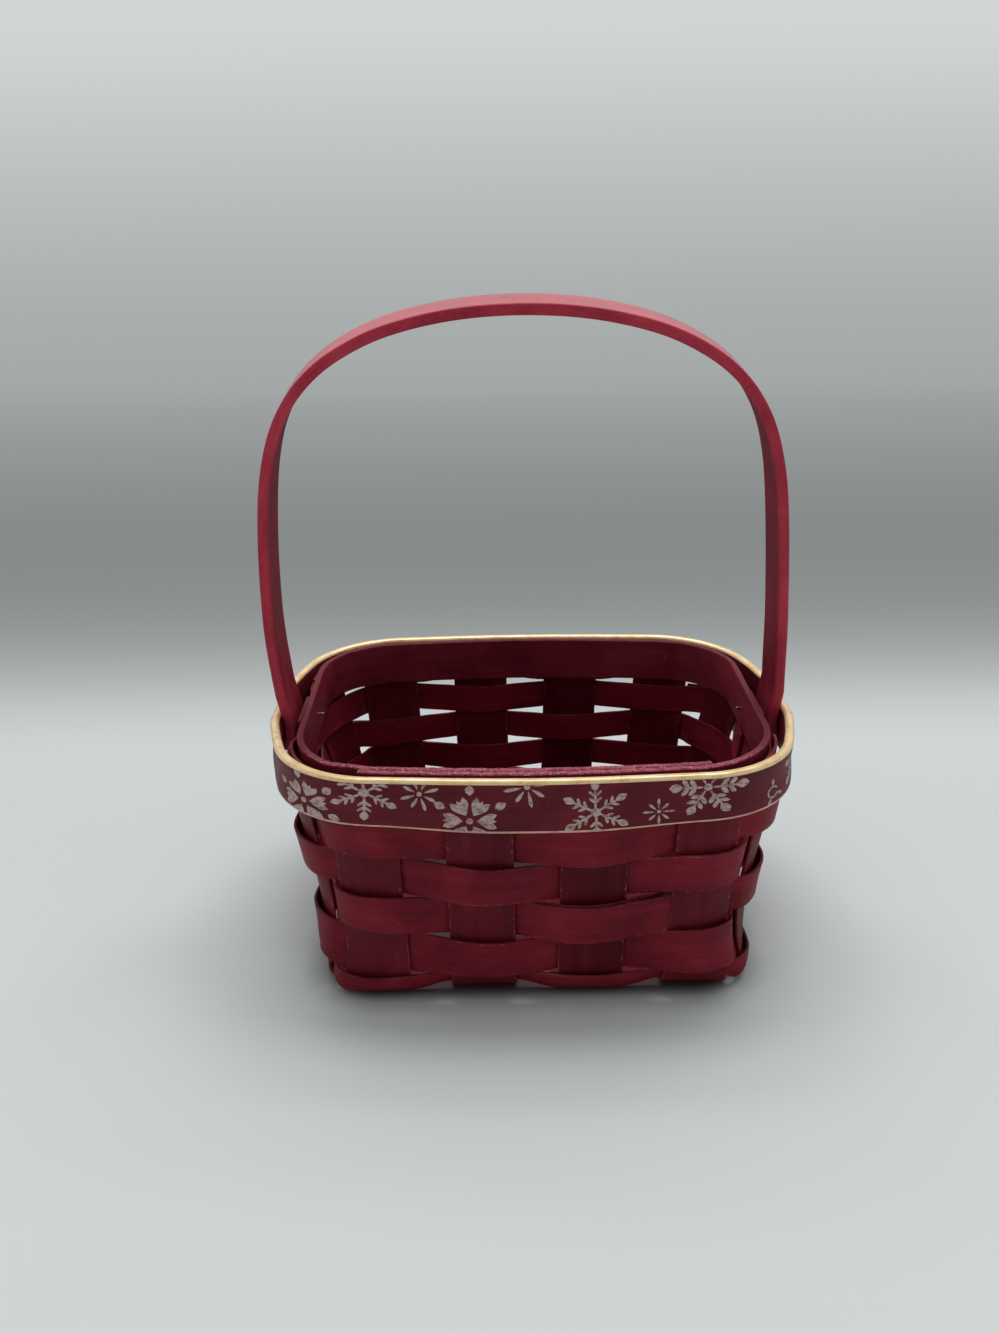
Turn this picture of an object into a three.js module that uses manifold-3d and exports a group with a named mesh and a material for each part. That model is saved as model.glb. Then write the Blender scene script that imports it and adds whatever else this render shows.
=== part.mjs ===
// A small rectangular splint basket with a fixed bent handle, in millimetres, +Z up.
// The origin is the middle of the footprint, on the surface that the basket stands on.
// The long sides face -Y (front) and +Y (back), and the handle stands over the two short sides.

import * as THREE from "three";
import Module from "manifold-3d";

// Splints, the thin wooden strips that cross each other
const splint_thickness = 0.9;
const crossing_gap = 0.3;
const stake_width = 19;
const weaver_width = 10.8;
const lowest_weaver_width = 7;
const weaver_bulge = 1.2;
const row_gap = 1.3;
const lowest_row_gap = 0.4;
const weaver_landing = 0.4;
const lap_end_drop = 0.9;

// Stakes run down one wall, through the base and up the opposite wall
const front_stake_pitch = 30.8;
const side_stake_pitch = 36.4;
const front_pitch_gain = 2.1;
const side_pitch_loss = 4;
const stake_end_above_weave = 1.9;

// Walls, which fold up from the base and lean out at the ends of the basket
const fold_margin = 1;
const fold_radius = 5.5;
const lowest_weaver_start = 2.6;
const end_lean = 8.5;
const front_draw_in = 3.4;
const sharp_corner_radius = 3;
const corner_radius_gain = 24;
const corner_rounding_height = 12;

// Rim bands, one inside and one outside the top of the weave
const outer_band_height = 16;
const outer_band_thickness = 2.8;
const outer_band_above_stake = 3;
const outer_band_rounding = 0.9;
const inner_band_height = 14.7;
const inner_band_thickness = 2;
const inner_band_below_outer = 1.3;
const inner_band_back_lift = 2.3;
const inner_band_rounding = 0.4;
const inner_band_overlap = 100;
const inner_band_overlap_ramp = 14;
const inner_band_start = 50;

// Handle, a flat bent strip whose two ends stand between the weave and the outer band
const handle_width = 16.5;
const handle_thickness = 3.2;
const handle_rounding = 0.6;
const handle_rise = 118.2;
const handle_spread = 0.95;
const handle_lean = 2.5;
const handle_tuck = 15;
const band_bulge_flat = 9.25;
const band_bulge_fade = 20.75;

// Tacks that hold the inner band, each with its tip standing out on the inside
const tack_radius = 0.5;
const tack_clearance = 0.25;
const tack_tip = 0.6;
const tack_below_top = 6.2;
const tack_side_place = 2;
const tack_back_place = 50.5;

const weaver_rows = 6;
const front_stakes = 4;
const side_stakes = 3;

// The lean of the walls grows with their height, and that of the handle slower than its height
const lean_power = 1;
const handle_lean_power = 4;

// The outer face of one half of the handle, from the rim to the top, as shares of the half span
// and of the rise above the rim
const handle_outline_shares = [
  [0.999, 0.034], [1.005, 0.186], [1.005, 0.271], [0.998, 0.389], [0.98, 0.529], [0.96, 0.609],
  [0.918, 0.706], [0.871, 0.763], [0.816, 0.818], [0.74, 0.866], [0.666, 0.899], [0.545, 0.942],
  [0.41, 0.966], [0.269, 0.985], [0.138, 0.996], [0, 1],
];

// The stake where the ends of each weaver overlap, counted anticlockwise from the front left
const lap_stakes = [8, 9, 2, 11, 6];

// Steps that the curved surfaces are drawn with
const steps_over_stake = 4;
const steps_between_stakes = 3;
const fold_steps = 5;
const wall_steps = 7;
const base_gap_steps = 3;
const corner_stake_columns = 5;
const lowest_weaver_columns = 5;
const band_steps_per_side = 17;
const leg_steps = 3;
const arch_half_steps = 34;
const tack_sides = 10;
const tack_tip_steps = 3;
const normal_probe = 0.01;

// Sizes worked out from the ones above
const half_splint = splint_thickness / 2;
const base_middle = splint_thickness + crossing_gap / 2;
const base_wave = (splint_thickness + crossing_gap) / 2;
const weave_offset = splint_thickness + crossing_gap;
const band_lap_step = inner_band_thickness + crossing_gap;
const fold_length = fold_radius * Math.PI / 2;
const row_pitch = weaver_width + row_gap;
const second_weaver_start = lowest_weaver_start + lowest_weaver_width + lowest_row_gap;
const weave_top = second_weaver_start + (weaver_rows - 1) * row_pitch - row_gap;
const stake_top = weave_top + stake_end_above_weave;
const outer_band_top = stake_top + outer_band_above_stake;
const outer_band_low = outer_band_top - outer_band_height;
const inner_band_top = outer_band_top - inner_band_below_outer;
const straight_wall = outer_band_top - fold_length;
const wall_rise = straight_wall + fold_radius;
const base_half_x = ((front_stakes - 1) * front_stake_pitch + stake_width) / 2 + fold_margin;
const base_half_y = ((side_stakes - 1) * side_stake_pitch + stake_width) / 2 + fold_margin;
const band_offset = weave_offset + half_splint + crossing_gap;
const handle_push = handle_thickness + crossing_gap;

// The sides in the order of a walk round the basket, each known by its place in the list
const side_names = ["front", "right", "back", "left"];
const [FRONT, RIGHT, BACK, LEFT] = side_names.keys();
const SIDES = [FRONT, RIGHT, BACK, LEFT];
const outward_of = [
  new THREE.Vector2(0, -1),
  new THREE.Vector2(1, 0),
  new THREE.Vector2(0, 1),
  new THREE.Vector2(-1, 0),
];

const is_long = (side) => side === FRONT || side === BACK;

const smooth = (share) => {
  const t = Math.min(Math.max(share, 0), 1);
  return t * t * (3 - 2 * t);
};

// The wall is a surface with two coordinates. One is the path from the line where the base folds
// up, round the fold and up the wall. A level is the rounded rectangle of the wall on that path.
function level(path) {
  const turn = Math.min(Math.max(path, 0), fold_length) / fold_radius;
  const straight = Math.max(path - fold_length, 0);
  const rise = fold_radius * (1 - Math.cos(turn)) + straight;
  const lean = (straight / straight_wall) ** lean_power;
  const out = fold_radius * Math.sin(turn) + Math.min(path, 0);
  return {
    rise,
    half_x: base_half_x + out + end_lean * lean,
    half_y: base_half_y + out - front_draw_in * lean,
    radius: sharp_corner_radius + corner_radius_gain * (1 - Math.exp(-rise / corner_rounding_height)),
  };
}

// How far one side of the basket stands out at a level, and half the length of its straight part
function side_of(side, at) {
  const half_out = is_long(side) ? at.half_y : at.half_x;
  const half_along = is_long(side) ? at.half_x : at.half_y;
  return { half_out, straight: half_along - at.radius };
}

// The way along the wall from the middle of one side to the middle of the next
function quarter_length(path) {
  const at = level(path);
  const straights = side_of(FRONT, at).straight + side_of(RIGHT, at).straight;
  return straights + at.radius * Math.PI / 2;
}

function place(side, along, out, rise) {
  const outward = outward_of[side];
  const x = outward.x * out - outward.y * along;
  const y = outward.y * out + outward.x * along;
  return new THREE.Vector3(x, y, base_middle + rise);
}

// The other coordinate is a turn round the basket, where 0 to 3 are the middles of the four sides
function wall_point(turn, path) {
  const at = level(path);
  const side = ((Math.floor(turn) % 4) + 4) % 4;
  const next_side = (side + 1) % 4;
  const here = side_of(side, at);
  const next = side_of(next_side, at);
  const corner = at.radius * Math.PI / 2;
  const walked = (turn - Math.floor(turn)) * (here.straight + corner + next.straight);
  if (walked <= here.straight) {
    return place(side, walked, here.half_out, at.rise);
  }
  if (walked >= here.straight + corner) {
    const left_over = here.straight + corner + next.straight - walked;
    return place(next_side, -left_over, next.half_out, at.rise);
  }
  const angle = (walked - here.straight) / at.radius;
  const along = here.straight + at.radius * Math.sin(angle);
  const out = here.half_out - at.radius * (1 - Math.cos(angle));
  return place(side, along, out, at.rise);
}

function wall_normal(turn, path) {
  const turn_probe = normal_probe / quarter_length(path);
  const along = wall_point(turn + turn_probe, path).sub(wall_point(turn - turn_probe, path));
  const upward = wall_point(turn, path + normal_probe).sub(wall_point(turn, path - normal_probe));
  return along.cross(upward).normalize();
}

// A point beside the wall, as far out from its middle surface as asked
function beside_wall(turn, path, out) {
  return wall_point(turn, path).addScaledVector(wall_normal(turn, path), out);
}

const turn_at = (side, along, path) => side + along / quarter_length(path);

// Stakes in the order of a walk round the basket, anticlockwise from the front left
const stakes_round = SIDES.flatMap((side) => {
  const count = is_long(side) ? front_stakes : side_stakes;
  return Array.from({ length: count }, (_, i) => ({ side, place_in_row: i - (count - 1) / 2 }));
});

function stake_middle(side, place_in_row, path) {
  const lift = level(path).rise / wall_rise;
  const pitch = is_long(side)
    ? front_stake_pitch + front_pitch_gain * lift
    : side_stake_pitch - side_pitch_loss * lift;
  return place_in_row * pitch;
}

// A closed strip of wood: each station holds the points of its outer and inner face from one
// long edge to the other. A looped strip joins its last station to its first.
function strip(stations, is_loop) {
  const columns = stations[0].outer.length;
  const positions = [];
  for (const station of stations) {
    for (const point of [...station.outer, ...station.inner]) {
      positions.push(point.x, point.y, point.z);
    }
  }
  const faces = [];
  const quad = (a, b, c, d) => faces.push(a, b, c, a, c, d);
  const count = stations.length;
  const spans = is_loop ? count : count - 1;
  const last = columns - 1;
  for (let i = 0; i < spans; i += 1) {
    const here = i * 2 * columns;
    const there = ((i + 1) % count) * 2 * columns;
    for (let j = 0; j < last; j += 1) {
      const inner = columns + j;
      quad(here + j, there + j, there + j + 1, here + j + 1);
      quad(here + inner + 1, there + inner + 1, there + inner, here + inner);
    }
    quad(here + columns, there + columns, there, here);
    quad(here + last, there + last, there + last + columns, here + last + columns);
  }
  if (!is_loop) {
    const end = (count - 1) * 2 * columns;
    for (let j = 0; j < last; j += 1) {
      quad(j, j + 1, columns + j + 1, columns + j);
      quad(end + j + 1, end + j, end + columns + j, end + columns + j + 1);
    }
  }
  const geometry = new THREE.BufferGeometry();
  geometry.setAttribute("position", new THREE.Float32BufferAttribute(positions, 3));
  geometry.setIndex(volume_of(positions, faces) < 0 ? faces.reverse() : faces);
  geometry.computeVertexNormals();
  return geometry;
}

function volume_of(positions, faces) {
  const corner = (index) => new THREE.Vector3().fromArray(positions, index * 3);
  let volume = 0;
  for (let i = 0; i < faces.length; i += 3) {
    volume += corner(faces[i]).dot(corner(faces[i + 1]).cross(corner(faces[i + 2]))) / 6;
  }
  return volume;
}

const colours = {
  stake: 0x5b1c28,
  weaver: 0x6d1f2b,
  inner_band: 0x4c1620,
  outer_band: 0x571a25,
  handle: 0x7a2535,
  tack: 0xb3a59a,
};

const stained_wood = (color) => new THREE.MeshStandardMaterial({ color, roughness: 0.5, metalness: 0 });
const steel = (color) => new THREE.MeshStandardMaterial({ color, roughness: 0.35, metalness: 1 });

function named_mesh(name, geometry, material) {
  const mesh = new THREE.Mesh(geometry, material);
  mesh.name = name;
  return mesh;
}

// The part of a stake on one wall, from the fold line up. At the fold line it still has the
// height that it has in the woven base, and it comes to the middle surface below the weavers.
function wall_part_of_stake(side, place_in_row, hand, columns, base_height) {
  const paths = [0, lowest_weaver_start / 2, lowest_weaver_start];
  for (let i = 1; i <= fold_steps; i += 1) {
    paths.push(lowest_weaver_start + (fold_length - lowest_weaver_start) * i / fold_steps);
  }
  for (let i = 1; i <= wall_steps; i += 1) {
    paths.push(fold_length + (stake_top - fold_length) * i / wall_steps);
  }
  return paths.map((path) => {
    const settle = -base_height * (1 - smooth(path / lowest_weaver_start));
    const face = (out) => Array.from({ length: columns }, (_, j) => {
      const across = (j / (columns - 1) - 1 / 2) * stake_width;
      const along = hand * (stake_middle(side, place_in_row, path) + across);
      return beside_wall(turn_at(side, along, path), path, settle + out);
    });
    return { outer: face(half_splint), inner: face(-half_splint) };
  });
}

// The part of a stake in the base, where it goes under and over the stakes that cross it
function base_part_of_stake(side, place_in_row, columns, crossings, crossing_pitch, heights) {
  const middle = stake_middle(side, place_in_row, 0);
  const station = (inward, height) => {
    const face = (down) => Array.from({ length: columns }, (_, j) => {
      const along = middle + (j / (columns - 1) - 1 / 2) * stake_width;
      return place(side, along, -inward, height - down);
    });
    return { outer: face(half_splint), inner: face(-half_splint) };
  };
  const stations = [];
  for (let i = 0; i < crossings; i += 1) {
    const crossing = (i - (crossings - 1) / 2) * crossing_pitch;
    stations.push(station(crossing - stake_width / 2, heights[i]));
    stations.push(station(crossing + stake_width / 2, heights[i]));
    for (let k = 1; i < crossings - 1 && k < base_gap_steps; k += 1) {
      const share = k / base_gap_steps;
      const inward = crossing + stake_width / 2 + (crossing_pitch - stake_width) * share;
      stations.push(station(inward, heights[i] * (1 - 2 * smooth(share))));
    }
  }
  return stations;
}

function stake_geometry(side, place_in_row, starts_low) {
  const count = is_long(side) ? front_stakes : side_stakes;
  const crossings = is_long(side) ? side_stakes : front_stakes;
  const crossing_pitch = is_long(side) ? side_stake_pitch : front_stake_pitch;
  const is_corner_stake = Math.abs(place_in_row) === (count - 1) / 2;
  const columns = is_corner_stake ? corner_stake_columns : 2;
  const heights = Array.from({ length: crossings }, (_, i) => (
    (i % 2 === 0) === starts_low ? -base_wave : base_wave
  ));
  const near = wall_part_of_stake(side, place_in_row, 1, columns, heights[0]);
  const base = base_part_of_stake(side, place_in_row, columns, crossings, crossing_pitch, heights);
  const far = wall_part_of_stake((side + 2) % 4, place_in_row, -1, columns, heights[crossings - 1]);
  return strip([...near.reverse(), ...base, ...far], false);
}

function add_stakes(basket) {
  for (let i = 0; i < front_stakes; i += 1) {
    const geometry = stake_geometry(FRONT, i - (front_stakes - 1) / 2, i % 2 === 0);
    basket.add(named_mesh(`front_to_back_stake_${i + 1}`, geometry, stained_wood(colours.stake)));
  }
  for (let i = 0; i < side_stakes; i += 1) {
    const geometry = stake_geometry(LEFT, (side_stakes - 1) / 2 - i, i % 2 === 1);
    basket.add(named_mesh(`side_to_side_stake_${i + 1}`, geometry, stained_wood(colours.stake)));
  }
}

// Where a weaver lies flat over or behind a stake, measured along the wall at one height.
// Stakes are counted on past the end of a round, and before its start.
function landing(index, path) {
  const rounds = Math.floor(index / stakes_round.length);
  const { side, place_in_row } = stakes_round[index - rounds * stakes_round.length];
  const sides_passed = rounds * SIDES.length + side;
  const middle = sides_passed * quarter_length(path) + stake_middle(side, place_in_row, path);
  const half = stake_width / 2 + weaver_landing;
  return { start: middle - half, end: middle + half, half };
}

// The way of a weaver over one stake. Sign is 1 in front of the stake and -1 behind it.
function over_stake(index, path, sign, bulge, ply, first_step = 0) {
  const { start, half } = landing(index, path);
  const points = [];
  for (let i = first_step; i <= steps_over_stake; i += 1) {
    const share = 2 * i / steps_over_stake - 1;
    const out = sign * (weave_offset + bulge * (1 - share * share)) + ply;
    points.push({ walked: start + half * (share + 1), out });
  }
  return points;
}

// The way of a weaver from one stake to the next, through the row of stakes to its other side.
// It leaves and meets both stakes with the slope that its bulge over them has.
function between_stakes(index, path, sign, bulge, ply_before, ply_after) {
  const from = landing(index, path);
  const gap = landing(index + 1, path).start - from.end;
  const slope = 2 * bulge * gap / from.half;
  const points = [];
  for (let i = 1; i < steps_between_stakes; i += 1) {
    const t = i / steps_between_stakes;
    const turned = weave_offset * (1 - 2 * smooth(t)) - slope * t * (1 - t) * (1 - 2 * t);
    const ply = ply_before + (ply_after - ply_before) * smooth(t);
    points.push({ walked: from.end + gap * t, out: sign * turned + ply });
  }
  return points;
}

// The free end of a weaver, which is cut off just before it would go behind the next stake
function lap_end(index, path) {
  const from = landing(index, path);
  const gap = landing(index + 1, path).start - from.end;
  return Array.from({ length: steps_between_stakes }, (_, i) => {
    const t = (i + 1) / steps_between_stakes;
    return { walked: from.end + gap * t, out: weave_offset + weave_offset - lap_end_drop * smooth(t) };
  });
}

// A weaver that starts behind the stake before its lap and goes once round. It comes back
// between that stake and its own start, and ends there.
function tucked_way(path, bulge, lap_stake) {
  const before = lap_stake - 1;
  const again = before + stakes_round.length;
  const points = over_stake(before, path, -1, bulge, -weave_offset, steps_over_stake / 2);
  points.push(...between_stakes(before, path, -1, bulge, -weave_offset, 0));
  for (let index = lap_stake; index < again; index += 1) {
    const sign = (index - lap_stake) % 2 === 0 ? 1 : -1;
    points.push(...over_stake(index, path, sign, bulge, 0));
    points.push(...between_stakes(index, path, sign, bulge, 0, 0));
  }
  points.push(...over_stake(again, path, -1, bulge, 0));
  return points;
}

// A weaver that goes on from there over the next stake too, where its end lies outside its start
function lapped_way(path, bulge, lap_stake) {
  const again = lap_stake - 1 + stakes_round.length;
  return [
    ...tucked_way(path, bulge, lap_stake),
    ...between_stakes(again, path, -1, bulge, 0, weave_offset),
    ...over_stake(again + 1, path, 1, bulge, weave_offset),
    ...lap_end(again + 1, path),
  ];
}

// A weaver as a closed flat ring
function ring_way(path, first_sign) {
  return stakes_round.flatMap((_, index) => {
    const sign = index % 2 === 0 ? first_sign : -first_sign;
    return [...over_stake(index, path, sign, 0, 0), ...between_stakes(index, path, sign, 0, 0, 0)];
  });
}

// The strip that a weaver makes when each of its columns goes its own way round the wall
function weaver_strip(low, high, columns, way_at, is_loop) {
  const paths = Array.from({ length: columns }, (_, j) => low + (high - low) * j / (columns - 1));
  const ways = paths.map((path) => way_at(path));
  const stations = ways[0].map((_, i) => {
    const face = (added) => ways.map((way, j) => {
      const turn = way[i].walked / quarter_length(paths[j]);
      return beside_wall(turn, paths[j], way[i].out + added);
    });
    return { outer: face(half_splint), inner: face(-half_splint) };
  });
  return strip(stations, is_loop);
}

// The lowest weaver lies on the fold. It bulges at its upper edge only and has both ends behind
// a stake, so that it stays clear of the ground.
function lowest_weaver() {
  const high = lowest_weaver_start + lowest_weaver_width;
  const way_at = (path) => {
    const bulge = weaver_bulge * (path - lowest_weaver_start) / lowest_weaver_width;
    return tucked_way(path, bulge, lap_stakes[0]);
  };
  return weaver_strip(lowest_weaver_start, high, lowest_weaver_columns, way_at, false);
}

// Any other weaver. The outer band leaves no room for a lap or a bulge in a weaver that it covers.
function upper_weaver(row) {
  const low = second_weaver_start + (row - 1) * row_pitch;
  const high = low + weaver_width;
  const is_ring = high > outer_band_low || row === lap_stakes.length;
  const way_at = (path) => (
    is_ring ? ring_way(path, row % 2 === 0 ? 1 : -1) : lapped_way(path, weaver_bulge, lap_stakes[row])
  );
  return weaver_strip(low, high, 2, way_at, is_ring);
}

function add_weavers(basket) {
  for (let row = 0; row < weaver_rows; row += 1) {
    const geometry = row === 0 ? lowest_weaver() : upper_weaver(row);
    basket.add(named_mesh(`weaver_${row + 1}`, geometry, stained_wood(colours.weaver)));
  }
}

// Columns of a strip with rounded edges: where each lies from edge to edge, and how far both
// faces draw back from it there
function rounded_columns(width, rounding) {
  return [
    { at: 0, back: rounding },
    { at: rounding, back: 0 },
    { at: width - rounding, back: 0 },
    { at: width, back: rounding },
  ];
}

function band_station(turn, low, height, rounding, near, thickness) {
  const columns = rounded_columns(height, rounding);
  return {
    outer: columns.map(({ at, back }) => beside_wall(turn, low + at, near + thickness - back)),
    inner: columns.map(({ at, back }) => beside_wall(turn, low + at, near + back)),
  };
}

// How far the end of the handle pushes the outer band out there
function handle_bulge(turn) {
  const side = Math.round((turn - RIGHT) / 2) * 2 + RIGHT;
  const walked = Math.abs(turn - side) * quarter_length(outer_band_top);
  return handle_push * (1 - smooth((walked - band_bulge_flat) / band_bulge_fade));
}

function outer_band() {
  const steps = band_steps_per_side * SIDES.length;
  const stations = Array.from({ length: steps }, (_, i) => {
    const turn = i / band_steps_per_side;
    const near = band_offset + handle_bulge(turn);
    return band_station(
      turn, outer_band_low, outer_band_height, outer_band_rounding, near, outer_band_thickness,
    );
  });
  return strip(stations, true);
}

// The inner band stands a little higher at the back than at the front
function inner_band_low(turn) {
  const back_share = (1 - Math.cos(turn * Math.PI / 2)) / 2;
  return inner_band_top - inner_band_height + inner_band_back_lift * back_share;
}

// The inner band goes once round, and its end laps over its start along the front
function inner_band() {
  const quarter = quarter_length(inner_band_top);
  const round = quarter * SIDES.length;
  const total = round + inner_band_overlap;
  const steps = Math.ceil(band_steps_per_side * total / quarter);
  const stations = Array.from({ length: steps + 1 }, (_, i) => {
    const walked = total * i / steps;
    const turn = (walked - inner_band_start) / quarter;
    const lapped = smooth((walked - round + inner_band_overlap_ramp) / inner_band_overlap_ramp);
    const near = -band_offset - inner_band_thickness - band_lap_step * lapped;
    const low = inner_band_low(turn);
    return band_station(turn, low, inner_band_height, inner_band_rounding, near, inner_band_thickness);
  });
  return strip(stations, false);
}

// The outer face of the right half of the handle, from its lower end up to the top
function handle_half_outline() {
  const points = [];
  for (let i = 0; i < leg_steps; i += 1) {
    const path = outer_band_top - handle_tuck * (1 - i / leg_steps);
    const point = beside_wall(RIGHT, path, band_offset + handle_thickness);
    points.push(new THREE.Vector2(point.x, point.z));
  }
  const rim = wall_point(RIGHT, outer_band_top);
  const half_span = rim.x + band_offset + handle_thickness + handle_spread;
  const arch = handle_outline_shares.map(([span_share, rise_share]) => (
    new THREE.Vector2(half_span * span_share, rim.z + handle_rise * rise_share)
  ));
  return [...points, ...new THREE.SplineCurve(arch).getPoints(arch_half_steps)];
}

function handle() {
  const right_half = handle_half_outline();
  const left_half = right_half.slice(0, -1).reverse();
  const outline = [...right_half, ...left_half.map((point) => new THREE.Vector2(-point.x, point.y))];
  const rim_height = wall_point(RIGHT, outer_band_top).z;
  const columns = rounded_columns(handle_width, handle_rounding);
  const stations = outline.map((point, i) => {
    const ahead = outline[Math.min(i + 1, outline.length - 1)];
    const behind = outline[Math.max(i - 1, 0)];
    const along = ahead.clone().sub(behind).normalize();
    const outward = new THREE.Vector2(along.y, -along.x);
    const rise_share = Math.max(point.y - rim_height, 0) / handle_rise;
    const lean = -handle_lean * (1 - (1 - rise_share) ** handle_lean_power);
    const face = (inset_at) => columns.map(({ at, back }) => {
      const inset = inset_at(back);
      const x = point.x - outward.x * inset + lean;
      return new THREE.Vector3(x, at - handle_width / 2, point.y - outward.y * inset);
    });
    return { outer: face((back) => back), inner: face((back) => handle_thickness - back) };
  });
  return strip(stations, false);
}

// Where the tacks come through the inner band: at each end of the handle and twice at the back
function tack_places() {
  const places = [
    { side: RIGHT, along: tack_side_place },
    { side: BACK, along: -tack_back_place },
    { side: BACK, along: tack_back_place },
    { side: LEFT, along: -tack_side_place },
  ];
  return places.map(({ side, along }) => {
    const path = inner_band_low(side) + inner_band_height - tack_below_top;
    const turn = turn_at(side, along, path);
    const tip = beside_wall(turn, path, -band_offset - inner_band_thickness - tack_tip);
    return { tip, inward: wall_normal(turn, path).negate() };
  });
}

// A tack with a rounded tip, which points along +Y and ends at the origin
function tack_geometry() {
  const length = inner_band_thickness + tack_tip;
  const profile = [new THREE.Vector2(0, -length), new THREE.Vector2(tack_radius, -length)];
  for (let i = 0; i < tack_tip_steps; i += 1) {
    const angle = Math.PI / 2 * i / tack_tip_steps;
    profile.push(new THREE.Vector2(tack_radius * Math.cos(angle), tack_radius * (Math.sin(angle) - 1)));
  }
  profile.push(new THREE.Vector2(0, 0));
  return new THREE.LatheGeometry(profile, tack_sides);
}

// The band with a hole for each tack, a little wider than the tack
function with_tack_holes(geometry, places, { Manifold, Mesh }) {
  const length = (inner_band_thickness + tack_tip) * 2;
  const radius = tack_radius + tack_clearance;
  const drill = Manifold.cylinder(length, radius, radius, tack_sides, true);
  const along_drill = new THREE.Vector3(0, 0, 1);
  let band = new Manifold(new Mesh({
    numProp: 3,
    vertProperties: new Float32Array(geometry.attributes.position.array),
    triVerts: new Uint32Array(geometry.index.array),
  }));
  for (const { tip, inward } of places) {
    const turned = new THREE.Quaternion().setFromUnitVectors(along_drill, inward);
    const pose = new THREE.Matrix4().makeRotationFromQuaternion(turned);
    const middle = tip.clone().addScaledVector(inward, -tack_tip - inner_band_thickness / 2);
    pose.setPosition(middle);
    band = band.subtract(drill.transform(pose.toArray()));
  }
  const mesh = band.getMesh();
  const result = new THREE.BufferGeometry();
  result.setAttribute("position", new THREE.Float32BufferAttribute(mesh.vertProperties, 3));
  result.setIndex(Array.from(mesh.triVerts));
  result.computeVertexNormals();
  return result;
}

function add_inner_band_and_tacks(basket, manifold) {
  const places = tack_places();
  const band = with_tack_holes(inner_band(), places, manifold);
  basket.add(named_mesh("inner_rim_band", band, stained_wood(colours.inner_band)));
  places.forEach(({ tip, inward }, i) => {
    const tack = named_mesh(`tack_${i + 1}`, tack_geometry(), steel(colours.tack));
    tack.position.copy(tip);
    tack.quaternion.setFromUnitVectors(new THREE.Vector3(0, 1, 0), inward);
    basket.add(tack);
  });
}

const manifold = await Module();
manifold.setup();

const basket = new THREE.Group();
add_stakes(basket);
add_weavers(basket);
add_inner_band_and_tacks(basket, manifold);
basket.add(named_mesh("outer_rim_band", outer_band(), stained_wood(colours.outer_band)));
basket.add(named_mesh("handle", handle(), stained_wood(colours.handle)));

export default basket;
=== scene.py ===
"""A stained splint basket with a printed rim band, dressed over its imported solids."""

import math

import bmesh
import bpy
import numpy as np
from mathutils import Matrix, Vector


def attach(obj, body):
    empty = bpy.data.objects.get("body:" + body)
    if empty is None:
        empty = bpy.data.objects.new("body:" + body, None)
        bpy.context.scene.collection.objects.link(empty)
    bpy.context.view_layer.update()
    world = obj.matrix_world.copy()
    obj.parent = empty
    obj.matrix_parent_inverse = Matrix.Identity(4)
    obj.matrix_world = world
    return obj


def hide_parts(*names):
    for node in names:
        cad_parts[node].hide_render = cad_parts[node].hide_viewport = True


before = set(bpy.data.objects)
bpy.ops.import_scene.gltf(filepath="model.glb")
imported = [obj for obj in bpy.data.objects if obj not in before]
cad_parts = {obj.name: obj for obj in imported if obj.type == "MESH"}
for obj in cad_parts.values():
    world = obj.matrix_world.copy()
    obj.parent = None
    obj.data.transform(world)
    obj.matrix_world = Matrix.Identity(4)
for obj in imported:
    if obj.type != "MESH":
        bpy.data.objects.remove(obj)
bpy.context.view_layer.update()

MM = 0.001

# Sizes in mm, as in the solids

# Splints, the thin wooden strips that cross each other
SPLINT = 0.9
GAP = 0.3
STAKE_WIDTH = 19.0
WEAVER_WIDTH = 10.8
LOWEST_WIDTH = 7.0
BULGE = 1.2
ROW_GAP = 1.3
LOWEST_GAP = 0.4
LANDING = 0.4
LAP_DROP = 0.9

# Stakes run down one wall, through the base and up the opposite wall
FRONT_STAKES = 4
SIDE_STAKES = 3
FRONT_PITCH = 30.8
SIDE_PITCH = 36.4
FRONT_GAIN = 2.1
SIDE_LOSS = 4.0
STAKE_END = 1.9

# Weavers run round the walls. Each row's first end is tucked in at a stake, and the top row is a
# closed ring.
ROWS = 6
LAP_STAKES = [8, 9, 2, 11, 6, None]

# Walls, which fold up from the base and lean out at the ends of the basket
FOLD_MARGIN = 1.0
FOLD_RADIUS = 5.5
LOWEST_START = 2.6
END_LEAN = 8.5
DRAW_IN = 3.4
CORNER_SHARP = 3.0
CORNER_GAIN = 24.0
CORNER_HEIGHT = 12.0

# Rim bands, one inside and one outside the top of the weave
OUTER_HEIGHT = 16.0
OUTER_THICK = 2.8
OUTER_ABOVE = 3.0
INNER_HEIGHT = 14.7
INNER_THICK = 2.0
INNER_BELOW = 1.3
INNER_BACK_LIFT = 2.3
INNER_OVERLAP = 100.0
INNER_RAMP = 14.0
INNER_START = 50.0
TACKS = 4

# Handle, a flat bent strip whose two ends stand between the weave and the outer band
HANDLE_WIDTH = 16.5
HANDLE_THICK = 3.2
HANDLE_RISE = 118.2
HANDLE_SPREAD = 0.95
HANDLE_LEAN = 2.5
HANDLE_LEAN_POWER = 4
HANDLE_TUCK = 15.0
BULGE_FLAT = 9.25
BULGE_FADE = 20.75

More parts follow.
